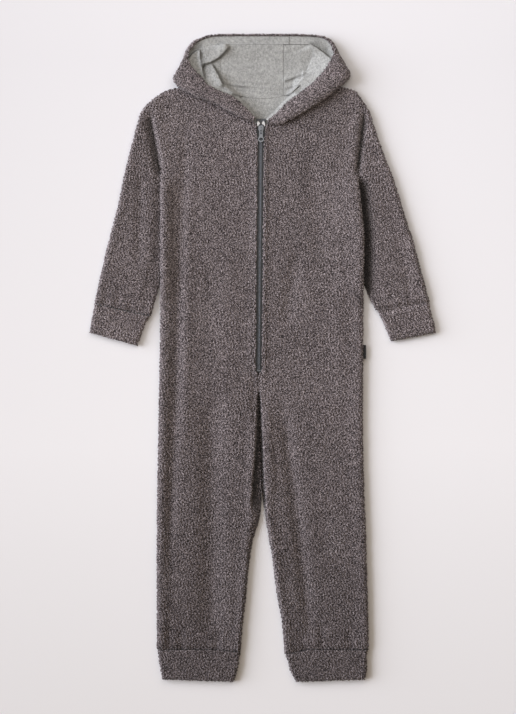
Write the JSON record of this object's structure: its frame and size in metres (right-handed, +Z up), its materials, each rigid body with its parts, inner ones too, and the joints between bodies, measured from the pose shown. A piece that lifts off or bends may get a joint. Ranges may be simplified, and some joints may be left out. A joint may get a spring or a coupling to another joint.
{
  "type": "hooded onesie pajama",
  "caption": "Child's hooded fleece onesie with a full-length front zip, long sleeves, long legs and fleece cuffs, laid out flat on its back.",
  "frame": {"origin": "middle of the laid garment's outline, on the surface it lies on", "axes": "+Y from the leg hems to the hood, +X towards the wearer's left, +Z up out of the front"},
  "size_m": [0.6924, 1.2948, 0.031],
  "materials": {
    "fleece": "curly boucle fleece, warm grey, matt",
    "marl": "fine grey marl jersey, matt",
    "tape": "woven tape, dark grey",
    "light_tape": "woven tape, light grey",
    "zip_metal": "satin gunmetal",
    "label": "woven ribbon, black, bare"
  },
  "bodies": {
    "garment": {"front_right": "fleece", "front_left": "fleece", "back_right": "fleece", "back_left": "fleece", "sleeve_right": "fleece", "sleeve_left": "fleece", "sleeve_cuff_right": "fleece", "sleeve_cuff_left": "fleece", "leg_cuff_right": "fleece", "leg_cuff_left": "fleece", "hood_side_right": "fleece", "hood_side_left": "fleece", "hood_centre": "fleece", "lining_side_right": "marl", "lining_side_left": "marl", "lining_centre": "marl", "hood_facing": "marl", "neck_facing": "marl", "zip_tape_right": "tape", "zip_tape_left": "tape", "tape_end_right": "light_tape", "tape_end_left": "light_tape", "zip_chain": "zip_metal", "zip_stop": "zip_metal", "zip_slider": "zip_metal", "side_label": "label"},
    "pull": {"zip_pull": "zip_metal"}
  },
  "joints": [
    {"name": "zip_pull_hinge", "type": "hinge", "parent": "garment", "child": "pull", "pos_m": [-0.00309, 0.4556, 0.0136], "axis": [-1, 0, 0], "range_deg": [0, 160]}
  ]
}
